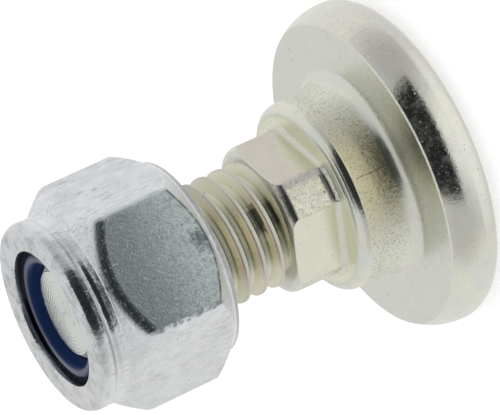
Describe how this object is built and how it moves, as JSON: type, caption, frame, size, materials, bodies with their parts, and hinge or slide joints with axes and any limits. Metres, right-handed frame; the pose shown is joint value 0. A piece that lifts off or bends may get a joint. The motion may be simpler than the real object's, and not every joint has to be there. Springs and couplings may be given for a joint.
{
  "type": "blade bolt with lock nut",
  "caption": "Short M12 bolt with a wide round head, a round shoulder for a swinging blade and a square neck, with a nylon-insert lock nut run onto its thread",
  "frame": {"origin": "centre of the head's flat outer face, on which the bolt stands", "axes": "+Z runs along the shank from the head to the nut; X and Y are square to the flats of the neck"},
  "size_m": [0.031, 0.031, 0.0374],
  "materials": {
    "bolt_plating": "zinc plated with a pale yellow-green passivate, satin",
    "nut_plating": "bright zinc plated, satin",
    "blue_nylon": "dark blue moulded nylon, slight sheen"
  },
  "bodies": {
    "bolt": {"blade_bolt": "bolt_plating"},
    "insert": {"nylon_insert": "blue_nylon"},
    "nut": {"lock_nut": "nut_plating"}
  },
  "joints": [
    {"name": "nut_travel", "type": "slide", "parent": "bolt", "child": "insert", "axis": [0, 0, 1], "range_m": [-0.00769, 0.01313]},
    {"name": "nut_turn", "type": "hinge", "parent": "insert", "child": "nut", "pos_m": [0, 0, 0.0305], "axis": [0, 0, 1], "range_deg": [-1580, 2700]}
  ],
  "couplings": [
    {"joint": "nut_travel", "follows": "nut_turn", "m_per_rad": 0.00027852}
  ]
}
